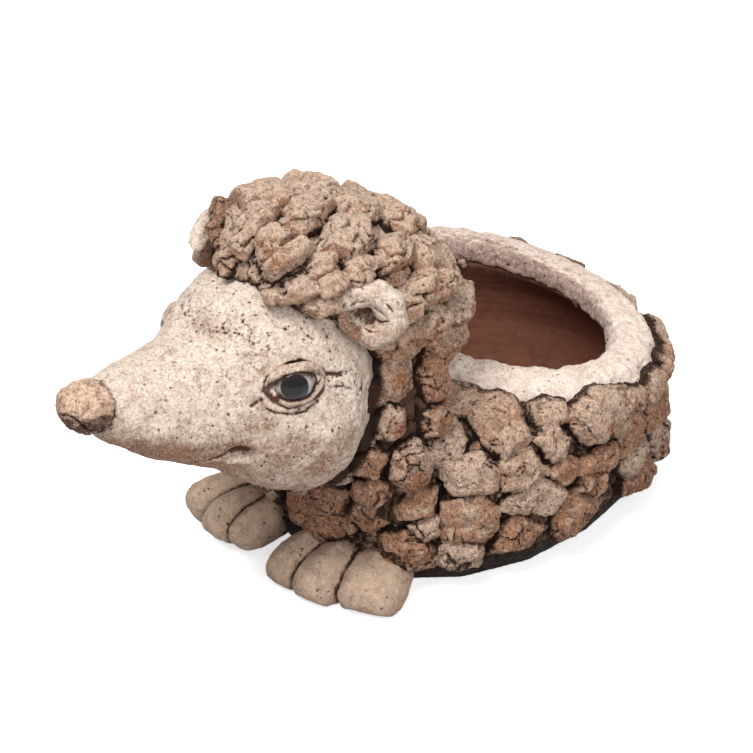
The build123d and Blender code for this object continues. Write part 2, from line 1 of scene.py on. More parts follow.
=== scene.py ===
"""A hedgehog planter of rough fired clay: its looks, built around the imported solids."""

import math

import bpy
import numpy as np
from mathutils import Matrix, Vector
from mathutils.bvhtree import BVHTree


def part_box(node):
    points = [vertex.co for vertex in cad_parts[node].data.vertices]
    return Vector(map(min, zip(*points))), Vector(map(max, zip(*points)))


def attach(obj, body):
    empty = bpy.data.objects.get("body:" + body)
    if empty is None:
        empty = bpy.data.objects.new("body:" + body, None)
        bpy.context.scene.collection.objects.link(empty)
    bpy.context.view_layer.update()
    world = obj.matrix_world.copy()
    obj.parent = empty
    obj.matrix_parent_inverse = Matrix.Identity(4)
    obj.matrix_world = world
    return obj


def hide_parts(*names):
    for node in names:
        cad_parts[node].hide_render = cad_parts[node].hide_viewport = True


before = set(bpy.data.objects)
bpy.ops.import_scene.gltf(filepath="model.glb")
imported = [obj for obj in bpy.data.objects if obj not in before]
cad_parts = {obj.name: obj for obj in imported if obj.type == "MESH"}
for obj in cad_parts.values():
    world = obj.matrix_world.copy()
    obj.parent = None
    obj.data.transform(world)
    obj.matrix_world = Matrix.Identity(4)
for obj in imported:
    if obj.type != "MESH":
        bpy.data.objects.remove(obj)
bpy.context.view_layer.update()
scene = bpy.context.scene
mm = 0.001
dice = np.random.default_rng(7)

# Camera: the place that the photograph was taken from, and the photograph's frame in pixels
aim_point = Vector((-26, -26, 60)) * mm
camera_azimuth = math.radians(44)
camera_elevation = math.radians(29)
camera_distance = 755 * mm
frame_pixels = 753
focal_pixels = 1500
sensor_width = 36

# Clay: how fine each kind of surface is cut, and how deep its shaded grain is
stone_grain = 0.85 * mm
skin_grain = 0.85 * mm
wall_grain = 1.5 * mm
smooth_grain = 0.7 * mm
lid_grain = 0.45 * mm
bump_depth = 1.3 * mm


# Studio
def direction_to(azimuth, elevation):
    """The direction from the object to a place around it. Azimuth 0 faces the animal, 90 is on its left."""
    flat = math.cos(elevation)
    return Vector((math.sin(azimuth) * flat, -math.cos(azimuth) * flat, math.sin(elevation)))


def aimed(direction):
    return (-direction).to_track_quat("-Z", "Y").to_euler()


camera_back = direction_to(camera_azimuth, camera_elevation)


def place_camera():
    bpy.ops.object.camera_add(location=aim_point + camera_back * camera_distance, rotation=aimed(camera_back))
    camera = bpy.context.object
    camera.data.sensor_width = sensor_width
    camera.data.lens = sensor_width * focal_pixels / frame_pixels
    scene.camera = camera


def pixel_ray(u, v):
    """The camera's place, and the direction in which it sees a pixel of the photograph."""
    turn = aimed(camera_back).to_matrix()
    across, down = u - frame_pixels / 2, v - frame_pixels / 2
    direction = turn @ Vector((across, -down, -focal_pixels))
    return aim_point + camera_back * camera_distance, direction.normalized()


def softbox(name, azimuth, elevation, distance, size, power, shines=True):
    """A square soft light that points at the object. One that doesn't shine shows in no reflection."""
    back = direction_to(math.radians(azimuth), math.radians(elevation))
    bpy.ops.object.light_add(type="AREA", location=aim_point + back * distance, rotation=aimed(back))
    light = bpy.context.object
    light.name = name
    light.data.size = size
    light.data.energy = power
    light.visible_glossy = shines


def seen_directly(tree):
    """One for the rays that show the background: from the camera, from gloss and through glass."""
    path = add(tree, "LightPath")
    first = maths(tree, "MAXIMUM", path.outputs["Is Camera Ray"], path.outputs["Is Glossy Ray"])
    return maths(tree, "MAXIMUM", first, path.outputs["Is Transmission Ray"])


def mix_shaders(tree, share, under, over):
    """The shader under, covered by the shader over by a share."""
    return add(tree, "MixShader", {0: share, 1: under.outputs[0], 2: over.outputs[0]})


def light_studio():
    scene.view_settings.view_transform = "Standard"
    softbox("key_light", azimuth=8, elevation=60, distance=1.6, size=0.7, power=19)
    softbox("side_light", azimuth=66, elevation=30, distance=1.9, size=1.2, power=15, shines=False)
    softbox("back_light", azimuth=200, elevation=52, distance=1.9, size=1.2, power=5, shines=False)
    world = bpy.data.worlds.new("studio")
    world.use_nodes = True
    tree = world.node_tree
    tree.nodes.clear()
    soft = add(tree, "Background", {"Color": (1, 0.985, 0.97, 1), "Strength": 0.30})
    white = add(tree, "Background", {"Color": (1, 1, 1, 1), "Strength": 1})
    either = mix_shaders(tree, seen_directly(tree), soft, white)
    add(tree, "OutputWorld", {"Surface": either.outputs[0]})
    scene.world = world


def lay_floor():
    """A floor that looks nearly white, but lights the planter as a calm grey one."""
    bpy.ops.mesh.primitive_circle_add(vertices=96, radius=4, fill_type="NGON")
    floor = bpy.context.object
    floor.name = "floor"
    material, tree = new_material("pale floor")
    matt = add(tree, "BsdfDiffuse", {"Color": (0.9, 0.9, 0.9, 1)})
    glow = add(tree, "Emission", {"Color": (1, 1, 1, 1), "Strength": 0.62})
    lit = add(tree, "AddShader", {0: matt.outputs[0], 1: glow.outputs[0]})
    calm = add(tree, "BsdfDiffuse", {"Color": (0.42, 0.41, 0.40, 1)})
    either = mix_shaders(tree, seen_directly(tree), calm, lit)
    add(tree, "OutputMaterial", {"Surface": either.outputs[0]})
    floor.data.materials.append(material)


# Shader nodes
def add(tree, kind, inputs=None, **settings):
    """A shader node with its settings, and its inputs as values or as other nodes' outputs."""
    made = tree.nodes.new("ShaderNode" + kind)
    for name, value in settings.items():
        setattr(made, name, value)
    for name, value in (inputs or {}).items():
        feed(tree, made.inputs[name], value)
    return made


def feed(tree, socket, value):
    if isinstance(value, bpy.types.NodeSocket):
        tree.links.new(value, socket)
    else:
        socket.default_value = value


def maths(tree, operation, first, second):
    return add(tree, "Math", {0: first, 1: second}, operation=operation).outputs[0]


def times(tree, first, second):
    return maths(tree, "MULTIPLY", first, second)


def plus(tree, first, second):
    return maths(tree, "ADD", first, second)


def opposite(tree, share):
    """One less the share."""
    return maths(tree, "SUBTRACT", 1.0, share)


def frayed(tree, share, noise, power):
    """A share whose border is torn by noise that runs on both sides of zero."""
    return plus(tree, share, times(tree, noise, maths(tree, "POWER", share, power)))


def spread(tree, value, low, high):
    """The value from low to high, stretched to run from 0 to 1 with soft ends."""
    limits = {"Value": value, "From Min": low, "From Max": high}
    return add(tree, "MapRange", limits, interpolation_type="SMOOTHSTEP").outputs[0]


def stain(tree, share, under, over):
    """The colour under, covered by the colour over by a share."""
    mix = add(tree, "Mix", data_type="RGBA")
    feed(tree, mix.inputs[0], share)
    feed(tree, mix.inputs[6], under)
    feed(tree, mix.inputs[7], over)
    return mix.outputs[2]


def point_mark(tree, name):
    return add(tree, "Attribute", attribute_name=name).outputs["Fac"]


def shifted(tree, place, step):
    return add(tree, "Mapping", {"Vector": place, "Location": step}).outputs[0]


def cloud(tree, place, size, detail, roughness, shift=0.0):
    """Soft noise with features of a size."""
    moved = shifted(tree, place, (shift, shift * 2, -shift))
    settings = {"Vector": moved, "Scale": 1 / size, "Detail": detail, "Roughness": roughness}
    return add(tree, "TexNoise", settings).outputs["Fac"]


def cells(tree, place, scale, feature):
    """The distance to the middle or to the edge of the cell that a place is in."""
    settings = {"Vector": place, "Scale": scale}
    return add(tree, "TexVoronoi", settings, feature=feature).outputs["Distance"]


def paint(red, green, blue):
    """A colour given as it looks on a screen, from 0 to 255."""
    return tuple((part / 255) ** 2.2 for part in (red, green, blue)) + (1,)


def new_group(name, inputs, outputs):
    """An empty node group, its tree, input node and output node. The rows are (name, kind, value)."""
    tree = bpy.data.node_groups.new(name, "ShaderNodeTree")
    for label, kind, value in inputs:
        socket = tree.interface.new_socket(label, in_out="INPUT", socket_type="NodeSocket" + kind)
        socket.default_value = value
    for label, kind in outputs:
        tree.interface.new_socket(label, in_out="OUTPUT", socket_type="NodeSocket" + kind)
    return tree, tree.nodes.new("NodeGroupInput"), tree.nodes.new("NodeGroupOutput")


def make_clay_group():
    """Chamotte clay: mottled body colours, dark and pale grains, pits, hairline cracks, and a dark wash that
    also carries painted shade.
    """
    tree, given, out = new_group(
        "chamotte clay",
        [
            *((label, "Color", paint(128, 96, 80)) for label in ("Pale", "Warm", "Dusky", "Blush", "Wash")),
            ("Warm Share", "Float", 0.4), ("Dusky Share", "Float", 0.3), ("Speck Share", "Float", 0.5),
            ("Salt Share", "Float", 0.3), ("Crack Share", "Float", 0.5), ("Wash Share", "Float", 1.0),
            ("Wear Share", "Float", 0.5), ("Grain Depth", "Float", 0.5),
        ],
        [("Color", "Color"), ("Roughness", "Float"), ("Height", "Float")],
    )
    value = given.outputs
    place = add(tree, "TexCoord").outputs["Object"]
    wash, wear = point_mark(tree, "wash"), point_mark(tree, "wear")
    tone, blush = point_mark(tree, "tone"), point_mark(tree, "blush")

    # Body colours
    broad = cloud(tree, place, 11 * mm, 5.0, 0.65)
    toned = plus(tree, broad, times(tree, plus(tree, tone, -0.5), 0.6))
    warm = times(tree, spread(tree, toned, 0.40, 0.62), value["Warm Share"])
    smoke = cloud(tree, place, 6 * mm, 6.0, 0.7, 0.3)
    dusk = times(tree, spread(tree, smoke, 0.46, 0.64), value["Dusky Share"])
    body = stain(tree, warm, value["Pale"], value["Warm"])
    body = stain(tree, dusk, body, value["Dusky"])
    fray = plus(tree, times(tree, cloud(tree, place, 3 * mm, 5.0, 0.75, 0.6), 1.6), -0.8)
    # A second colour: real stains and tans, and painted shade on undersides, the sides of the muzzle and the
    # upper inside of the bowl
    blushed_and_shaded = spread(tree, frayed(tree, blush, fray, 0.5), 0.05, 0.95)
    body = stain(tree, blushed_and_shaded, body, value["Blush"])
    # Worn crests paler, and painted light on the faces that look up and towards the rim
    worn_and_lit = spread(tree, frayed(tree, wear, fray, 0.5), 0.1, 0.9)
    body = stain(tree, times(tree, worn_and_lit, value["Wear Share"]), body, value["Pale"])

    # Grains
    fine = cloud(tree, place, 0.9 * mm, 5.0, 0.75, 0.1)
    coarse = cloud(tree, place, 2.3 * mm, 5.0, 0.72, 0.7)
    salt = spread(tree, cloud(tree, place, 0.8 * mm, 3.0, 0.7, 1.3), 0.50, 0.62)
    body = stain(tree, times(tree, salt, value["Salt Share"]), body, value["Pale"])
    grit = opposite(tree, spread(tree, cloud(tree, place, 1.4 * mm, 6.0, 0.8, 1.7), 0.36, 0.56))
    small = times(tree, spread(tree, fine, 0.50, 0.62), 0.65)
    large = times(tree, spread(tree, coarse, 0.55, 0.66), 0.6)
    specks = plus(tree, plus(tree, small, large), times(tree, grit, 0.7))
    specks = times(tree, specks, value["Speck Share"])

    # Cracks and pits
    warp = add(tree, "TexNoise", {"Vector": place, "Scale": 190.0, "Detail": 4.0}).outputs["Color"]
    bend = {0: warp, 1: (0.013, 0.013, 0.013), 2: place}
    bent = add(tree, "VectorMath", bend, operation="MULTIPLY_ADD").outputs[0]
    line = opposite(tree, spread(tree, cells(tree, bent, 150.0, "DISTANCE_TO_EDGE"), 0.0, 0.07))
    broken = spread(tree, cloud(tree, place, 9 * mm, 3.0, 0.55, 0.5), 0.48, 0.60)
    cracks = times(tree, times(tree, line, broken), value["Crack Share"])
    pit = opposite(tree, spread(tree, cells(tree, place, 300.0, "F1"), 0.10, 0.30))
    pits = times(tree, pit, spread(tree, cloud(tree, place, 4 * mm, 2.0, 0.5, 0.9), 0.53, 0.60))
    pits = times(tree, pits, value["Speck Share"])

    # Dark wash and painted shade, laid in the hollows, joints and undersides
    dirt = plus(tree, plus(tree, specks, pits), times(tree, cracks, 0.9))
    smear = plus(tree, times(tree, cloud(tree, place, 2.6 * mm, 6.0, 0.75, 0.2), 1.5), -0.75)
    wash_and_shade_film = times(tree, spread(tree, frayed(tree, wash, smear, 0.4), 0.06, 0.92), value["Wash Share"])
    dark = maths(tree, "MINIMUM", plus(tree, dirt, wash_and_shade_film), 0.97)
    tree.links.new(stain(tree, dark, body, value["Wash"]), out.inputs["Color"])
    tree.links.new(plus(tree, 0.74, times(tree, fine, 0.3)), out.inputs["Roughness"])
    height = times(tree, plus(tree, fine, coarse), value["Grain Depth"])
    height = plus(tree, height, times(tree, plus(tree, cracks, pits), -0.9))
    tree.links.new(height, out.inputs["Height"])
    return tree


def new_material(name):
    material = bpy.data.materials.new(name)
    material.use_nodes = True
    material.node_tree.nodes.clear()
    return material, material.node_tree


def clay_nodes(tree, values):
    """The chamotte group in a material, with the finish's own colours and shares."""
    clay = add(tree, "Group", node_tree=clay_group)
    for label, value in values.items():
        socket = clay.inputs[label.replace("_", " ")]
        socket.default_value = paint(*value) if isinstance(value, tuple) else value
    return clay


def make_shader(tree, inputs):
    made = add(tree, "BsdfPrincipled", inputs)
    add(tree, "OutputMaterial", {"Surface": made.outputs[0]})


def matt_shader(tree, colour, roughness, height, bump):
    bumps = add(tree, "Bump", {"Height": height, "Strength": bump, "Distance": bump_depth})
    look = {"Base Color": colour, "Roughness": roughness, "Specular IOR Level": 0.2}
    make_shader(tree, {**look, "Normal": bumps.outputs["Normal"]})


def clay_material(name, bump=0.5, **values):
    """A clay finish: the chamotte group in a matt shader."""
    material, tree = new_material(name)
    clay = clay_nodes(tree, values)
    matt_shader(tree, clay.outputs["Color"], clay.outputs["Roughness"], clay.outputs["Height"], bump)
    return material


# Eyeballs: the iris as a disc round its middle, the same on both sides
iris_middle = Vector((40.2, -142.6, 127.6)) * mm
iris_radius = 5.9 * mm
pupil_radius = 3.0 * mm
lid_shadow_start = 7.0 * mm
corner_middle = Vector((31.5, -152.5, 123)) * mm
corner_radius = 6.5 * mm
black = paint(8, 8, 9)


def distance_from(tree, place, middle):
    spoke = shifted(tree, place, tuple(-middle))
    return add(tree, "VectorMath", {0: spoke}, operation="LENGTH").outputs["Value"]


def make_eye_material():
    """A glazed eye: a black iris with grey fibres, off-white round it and grey in the inner corner, with
    painted shade along the lids and under the upper lid.
    """
    material, tree = new_material("eye glaze")
    place = add(tree, "TexCoord").outputs["Object"]
    parts = add(tree, "SeparateXYZ", {0: place})
    side = add(tree, "Math", {0: parts.outputs["X"]}, operation="ABSOLUTE").outputs[0]
    both_sides = {0: side, 1: parts.outputs["Y"], 2: parts.outputs["Z"]}
    folded = add(tree, "CombineXYZ", both_sides).outputs[0]
    mottle = cloud(tree, place, 1.6 * mm, 4.0, 0.7)
    white = stain(tree, spread(tree, mottle, 0.45, 0.70), paint(190, 182, 174), paint(146, 136, 130))
    past_corner = spread(tree, distance_from(tree, folded, corner_middle), 0.0, corner_radius)
    white = stain(tree, times(tree, opposite(tree, past_corner), 0.8), white, paint(92, 78, 76))
    away = distance_from(tree, folded, iris_middle)
    fibres = stain(tree, spread(tree, mottle, 0.46, 0.72), black, paint(34, 34, 37))
    ring = stain(tree, spread(tree, away, pupil_radius, pupil_radius + 0.8 * mm), black, fibres)
    border = spread(tree, away, iris_radius - 1.3 * mm, iris_radius - 0.3 * mm)
    ring = stain(tree, border, ring, black)
    past_iris = spread(tree, away, iris_radius - 0.2 * mm, iris_radius + 0.3 * mm)
    colour = stain(tree, past_iris, ring, white)
    # Painted shade at the top of the ball, under the upper lid, and along the lids
    rise = maths(tree, "SUBTRACT", parts.outputs["Z"], iris_middle.z)
    colour = stain(tree, spread(tree, rise, lid_shadow_start, lid_shadow_start + 0.6 * mm), colour, paint(*umber))
    colour = stain(tree, times(tree, point_mark(tree, "wash"), 0.9), colour, paint(*umber))
    make_shader(tree, {"Base Color": colour, "Roughness": 0.1, "Specular IOR Level": 0.3})
    return material


# Modelling helpers
def only(*pieces):
    """Selects these objects alone."""
    bpy.ops.object.select_all(action="DESELECT")
    for piece in pieces:
        piece.select_set(True)
    bpy.context.view_layer.objects.active = pieces[0]


def apply_modifiers(piece):
    only(piece)
    for modifier in list(piece.modifiers):
        bpy.ops.object.modifier_apply(modifier=modifier.name)


def edit_all(piece, action, **settings):
    """Runs an edit-mode operator on the whole mesh of a piece."""
    only(piece)
    bpy.ops.object.mode_set(mode="EDIT")
    bpy.ops.mesh.select_all(action="SELECT")
    action(**settings)
    bpy.ops.object.mode_set(mode="OBJECT")


def node_copy(node, ending="_clay"):
    """A new object with a merged copy of a CAD node's mesh."""
    piece = bpy.data.objects.new(node + ending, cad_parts[node].data.copy())
    scene.collection.objects.link(piece)
    piece.data.materials.clear()
    edit_all(piece, bpy.ops.mesh.remove_doubles, threshold=0.01 * mm)
    return piece


def split_solids(piece):
    """The separate solids of a piece, each as its own object."""
    edit_all(piece, bpy.ops.mesh.separate, type="LOOSE")
    return sorted(bpy.context.selected_objects, key=lambda solid: solid.name)


def joined(pieces, name):
    only(*pieces)
    if len(pieces) > 1:
        bpy.ops.object.join()
    piece = bpy.context.object
    piece.name = name
    piece.data.name = name
    return piece


def rub(piece, passes, group=""):
    """Smooths the surface, all over or by the shares of a vertex group."""
    smooth = piece.modifiers.new("rub", "SMOOTH")
    smooth.factor = 0.5
    smooth.iterations = passes
    smooth.vertex_group = group
    return smooth


def relief(name, kind, size, **settings):
    """A procedural texture for displacement, with features of a size."""
    texture = bpy.data.textures.new(name, kind)
    texture.noise_scale = size
    for label, value in settings.items():
        setattr(texture, label, value)
    return texture


def push(piece, texture, depth, level=0.5, group=""):
    """Pushes the surface in and out by a texture, all over or by the shares of a vertex group."""
    step = piece.modifiers.new(texture.name, "DISPLACE")
    step.texture = texture
    step.texture_coords = "LOCAL"
    step.strength = depth
    step.mid_level = level
    step.vertex_group = group


def roughen(piece, *rows):
    """Roughens the surface by rows of texture, depth, middle level and vertex group."""
    for row in rows:
        push(piece, *row)
    apply_modifiers(piece)


def recut(piece, grain, passes, *rows):
    """Cuts a shape anew in even voxels, rubs it smooth and roughens it by rows."""
    cut = piece.modifiers.new("even", "REMESH")
    cut.mode = "VOXEL"
    cut.voxel_size = grain
    cut.use_smooth_shade = True
    rub(piece, passes)
    roughen(piece, *rows)


def swell(piece, thickness):
    """Moves the whole surface outwards."""
    step = piece.modifiers.new("swell", "DISPLACE")
    step.strength = thickness
    step.mid_level = 0


def vectors_of(mesh, label):
    flat = np.empty(len(mesh.vertices) * 3)
    mesh.vertices.foreach_get(label, flat)
    return flat.reshape(-1, 3)


def points_of(piece):
    return vectors_of(piece.data, "co")


def normals_of(piece):
    return vectors_of(piece.data, "normal")


def nearness(away, reach):
    """One at no distance, and softly down to nothing beyond the reach."""
    return np.exp(-((away / reach) ** 2))


def around(points, place, radius):
    return nearness(np.linalg.norm(points - np.array(place), axis=1), radius)


def rising(values, start, over):
    """Zero up to the start, and one from a length beyond it."""
    return np.clip((values - start) / over, 0, 1)


def falling(values, end, over):
    """Zero from the end on, and one up to a length before it."""
    return np.clip((end - values) / over, 0, 1)


def outward(piece, middle):
    """How much each point faces away from an upright axis: 1 away from it, and -1 towards it."""
    out = points_of(piece)[:, :2] - middle
    out /= np.linalg.norm(out, axis=1)[:, None]
    return (normals_of(piece)[:, :2] * out).sum(1)


def set_points(piece, points):
    piece.data.vertices.foreach_set("co", points.ravel())
    piece.data.update()


def mark(piece, name):
    """The values of a point attribute, which starts at zero."""
    values = np.zeros(len(piece.data.vertices))
    if name in piece.data.attributes:
        piece.data.attributes[name].data.foreach_get("value", values)
    return values


def set_mark(piece, name, values):
    """Sets a point attribute from values for each point, or one for all."""
    attributes = piece.data.attributes
    if name not in attributes:
        attributes.new(name, "FLOAT", "POINT")
    values = np.zeros(len(piece.data.vertices)) + np.clip(values, 0, 1)
    attributes[name].data.foreach_set("value", values.astype(np.float32))


def add_mark(piece, name, values):
    set_mark(piece, name, mark(piece, name) + values)


group_steps = 10


def weigh(piece, name, shares):
    """A vertex group that holds a share from 0 to 1 for each point."""
    group = piece.vertex_groups.new(name=name)
    steps = np.rint(np.clip(shares, 0, 1) * group_steps).astype(int)
    for step in range(1, group_steps + 1):
        group.add(np.flatnonzero(steps == step).tolist(), step / group_steps, "REPLACE")


def rubbed_points(piece, passes):
    """The points of a piece after more smoothing, which shows its hollows and crests."""
    smooth = rub(piece, passes)
    graph = bpy.context.evaluated_depsgraph_get()
    points = vectors_of(piece.evaluated_get(graph).to_mesh(), "co")
    piece.modifiers.remove(smooth)
    return points


def wash_shade_and_wear(piece, passes, depth, wash_share=1.0, wear_share=1.0):
    """Lays wash and painted shade in the hollows of a piece and wears its crests."""
    under = ((rubbed_points(piece, passes) - points_of(piece)) * normals_of(piece)).sum(1) / depth
    add_mark(piece, "wash", wash_share * np.clip(under, 0, 1))
    add_mark(piece, "wear", wear_share * np.clip(-under, 0, 1))


def carrier(*nodes):
    """A search tree of solids, such as those that clods are pressed on."""
    corners, faces = [], []
    for node in nodes:
        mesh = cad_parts[node].data
        start = len(corners)
        corners += [vertex.co.copy() for vertex in mesh.vertices]
        faces += [[start + corner for corner in face.vertices] for face in mesh.polygons]
    return BVHTree.FromPolygons(corners, faces)


def rise_above(piece, tree):
    """How far each point of a piece stands from a carrier."""
    return np.array([tree.find_nearest(point)[3] for point in points_of(piece)])


# Flakes: how wavy, how closely set and how much longer along their way. Points are measured in chunks
wave_octaves = 3
flake_crowding = 1.5
flake_stretch = 0.6
flake_chunk = 4000


def ragged(points, size, reach):
    """The points shifted by soft waves, so that straight borders between them turn uneven."""
    shift = np.zeros_like(points)
    for axis in range(3):
        for octave in range(wave_octaves):
            way = dice.normal(size=3)
            way *= 2 * math.pi * 1.7**octave / (size * np.linalg.norm(way))
            shift[:, axis] += np.sin(points @ way + dice.uniform(0, 2 * math.pi)) / 1.4**octave
    return points + reach * shift / 2


def flake(piece, size, step, seam, wash, along=None, zone=None):
    """Splits the surface into flakes that stand at different heights, with wash and painted shade in the seam
    round each.
    """
    points, normals = points_of(piece), normals_of(piece)
    if zone is None:
        zone = np.ones(len(points))
    bent = ragged(points, 1.6 * size, 0.32 * size)
    if along is not None:
        way = np.array(along) / np.linalg.norm(along)
        bent = bent - flake_stretch * (bent @ way)[:, None] * way
    pool = np.flatnonzero(zone > 0.3)
    area = len(pool) * sum(face.area for face in piece.data.polygons) / len(points)
    count = min(max(3, int(flake_crowding * area / size**2)), len(pool))
    seeds = bent[dice.choice(pool, count, replace=False)]
    heights = dice.uniform(-0.35, 1, count)
    open_shares = dice.uniform(0, 1, count) ** 1.5
    nearest = np.zeros(len(points), dtype=int)
    gap = np.zeros(len(points))
    for start in range(0, len(points), flake_chunk):
        part = slice(start, start + flake_chunk)
        away = np.linalg.norm(bent[part, None] - seeds[None], axis=2)
        two = np.partition(away, 1, axis=1)[:, :2]
        nearest[part] = away.argmin(1)
        gap[part] = two[:, 1] - two[:, 0]
    groove = nearness(gap, seam)
    deep = groove * open_shares[nearest]
    lift = zone * step * (heights[nearest] * (1 - groove) - 0.7 * deep)
    set_points(piece, points + normals * lift[:, None])
    add_mark(piece, "wash", wash * zone * open_shares[nearest] * nearness(gap, 0.7 * seam))


def near_route(points, route):
    """The distance of each point from a route, and the share of the way along it."""
    best = np.full(len(points), np.inf)
    share = np.zeros(len(points))
    lengths = [(end - start).length for start, end in zip(route, route[1:])]
    done = 0
    for start, end, length in zip(route, route[1:], lengths):
        step = np.array(end - start)
        along = np.clip((points - np.array(start)) @ step / (step @ step), 0, 1)
        away = np.linalg.norm(points - np.array(start) - along[:, None] * step, axis=1)
        closer = away < best
        best[closer] = away[closer]
        share[closer] = (done + along[closer] * length) / sum(lengths)
        done += length
    return best, share


def press(piece, route, width, depth, wash=0.0, taper=0.25):
    """Presses a tool into the clay along a route, or pulls a ridge up where the depth is negative. A share of
    wash lays painted shade in the groove.
    """
    if len(route) < 2:
        return
    points = points_of(piece)
    away, share = near_route(points, route)
    ends = np.clip(np.minimum(share, 1 - share) / taper, 0, 1) ** 0.6
    force = nearness(away, width) * ends
    set_points(piece, points - normals_of(piece) * (depth * force)[:, None])
    if wash:
        add_mark(piece, "wash", wash * nearness(away, 0.75 * width) * ends)


def daub(piece, name, places, radius, amount):
    """Dabs an attribute on round some places."""
    points = points_of(piece)
    for place in places:
        add_mark(piece, name, amount * around(points, place, radius))


def dent(piece, places, radius, depth):
    """Pushes soft hollows in."""
    for place in places:
        points = points_of(piece)
        force = depth * around(points, place, radius)
        set_points(piece, points - normals_of(piece) * force[:, None])


def prick(piece, zone, count, size, depth):
    """Leaves small pits at random places of a zone, darkened with wash and painted shade."""
    points, normals = points_of(piece), normals_of(piece)
    pool = np.flatnonzero(dice.random(len(points)) < zone)
    centres = points[dice.choice(pool, min(count, len(pool)), replace=False)]
    sizes = size * dice.uniform(0.5, 1.2, len(centres))
    force = np.zeros(len(points))
    for centre, reach in zip(centres, sizes):
        near = np.flatnonzero(np.abs(points - centre).max(1) < 3 * reach)
        stretch = 1 + 0.5 * dice.random()
        away = np.linalg.norm((points[near] - centre) / (1, 1, stretch), axis=1)
        force[near] = np.maximum(force[near], nearness(away, reach))
    set_points(piece, points - normals * (depth * force)[:, None])
    add_mark(piece, "wash", 0.9 * force)


def seen_on(tree, pixels):
    """The places of a search tree that the camera sees at pixels of the photograph."""
    places = [tree.ray_cast(*pixel_ray(u, v))[0] for u, v in pixels]
    return [place for place in places if place is not None]


def seen_points(piece, pixels):
    return seen_on(BVHTree.FromObject(piece, bpy.context.evaluated_depsgraph_get()), pixels)


def mirrored(route):
    return [Vector((-point.x, point.y, point.z)) for point in route]


def finish_piece(piece, material, slot, *nodes):
    """Gives a piece its finish and its place in the frame. The slot is not used."""
    piece.data.materials.clear()
    piece.data.materials.append(material)
    faces = piece.data.polygons
    faces.foreach_set("material_index", np.zeros(len(faces), dtype=np.int32))
    faces.foreach_set("use_smooth", np.ones(len(faces), dtype=bool))
    piece.vertex_groups.clear()
    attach(piece, "root")
    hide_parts(*nodes)


place_camera()
light_studio()
lay_floor()
clay_group = make_clay_group()

# Finishes
umber = (44, 28, 23)
face_clay = clay_material(
    "cream face clay", 0.55, Pale=(246, 228, 210), Warm=(214, 174, 144), Dusky=(184, 140, 116),
    Blush=(162, 122, 98), Wash=(70, 44, 34), Warm_Share=0.7, Dusky_Share=0.55, Speck_Share=0.5,
    Salt_Share=0.5, Crack_Share=0.3, Wear_Share=0.6, Grain_Depth=0.8,
)
stone_clay = clay_material(
    "rough stone clay", 1.0, Pale=(250, 216, 190), Warm=(200, 136, 98), Dusky=(158, 116, 100),
    Blush=(178, 112, 76), Wash=umber, Warm_Share=0.85, Dusky_Share=0.75, Speck_Share=0.64,
    Salt_Share=0.55, Crack_Share=0.25, Wear_Share=0.85, Grain_Depth=1.0,
)
mane_clay = clay_material(
    "shaggy mane clay", 1.0, Pale=(255, 222, 196), Warm=(212, 154, 118), Dusky=(168, 122, 108),
    Blush=(186, 116, 78), Wash=(52, 32, 27), Warm_Share=0.9, Dusky_Share=0.6, Speck_Share=0.6,
    Salt_Share=0.7, Crack_Share=0.2, Wear_Share=0.9, Grain_Depth=1.1,
)
throat_clay = clay_material(
    "dark throat clay", 0.9, Pale=(112, 86, 72), Warm=(88, 60, 50), Dusky=(76, 58, 54),
    Blush=(108, 82, 76), Wash=umber, Warm_Share=0.6, Dusky_Share=0.6, Speck_Share=0.6,
    Salt_Share=0.3, Wear_Share=0.6, Grain_Depth=0.9,
)
rim_clay = clay_material(
    "pale rim clay", 0.6, Pale=(255, 236, 220), Warm=(224, 192, 168), Dusky=(190, 160, 146),
    Blush=(176, 146, 134), Wash=(78, 50, 42), Warm_Share=0.55, Dusky_Share=0.4, Speck_Share=0.35,
    Salt_Share=0.5, Crack_Share=0.15, Wear_Share=0.6, Grain_Depth=0.6,
)
nose_clay = clay_material(
    "brown nose clay", 0.7, Pale=(232, 196, 170), Warm=(196, 138, 100), Dusky=(136, 98, 82),
    Blush=(90, 62, 52), Wash=umber, Warm_Share=0.75, Dusky_Share=0.5, Speck_Share=0.6,
    Salt_Share=0.4, Crack_Share=0.4, Wear_Share=0.5,
)
paw_clay = clay_material(
    "pale paw clay", 0.4, Pale=(200, 174, 152), Warm=(166, 130, 106), Dusky=(142, 110, 94),
    Blush=(132, 96, 76), Wash=umber, Warm_Share=0.6, Dusky_Share=0.4, Speck_Share=0.28,
    Salt_Share=0.2, Crack_Share=0.35, Wear_Share=0.3, Grain_Depth=0.3,
)
slip_values = dict(
    Pale=(190, 154, 132), Warm=(134, 92, 70), Dusky=(110, 82, 74), Blush=(30, 20, 16),
    Wash=(26, 17, 14), Warm_Share=0.8, Dusky_Share=0.6, Speck_Share=0.7, Salt_Share=0.3,
    Wear_Share=0.5, Grain_Depth=0.9,
)
# Inside the bowl, the Blush colour is painted shade on the upper inner wall
thrown_values = dict(
    Pale=(132, 88, 70), Warm=(120, 76, 60), Dusky=(98, 68, 58), Blush=(78, 48, 40),
    Wash=umber, Warm_Share=0.6, Dusky_Share=0.4, Speck_Share=0.12, Salt_Share=0.1, Crack_Share=0.0,
    Wear_Share=0.2, Grain_Depth=0.15,
)


def make_bowl_material():
    """Dark slip outside and smooth reddish clay inside."""
    material, tree = new_material("bowl clay")
    outside, inside = clay_nodes(tree, slip_values), clay_nodes(tree, thrown_values)
    share = point_mark(tree, "inside")
    colour = stain(tree, share, outside.outputs["Color"], inside.outputs["Color"])
    height = times(tree, outside.outputs["Height"], maths(tree, "SUBTRACT", 1.0, share))
    matt_shader(tree, colour, outside.outputs["Roughness"], height, 0.8)
    return material


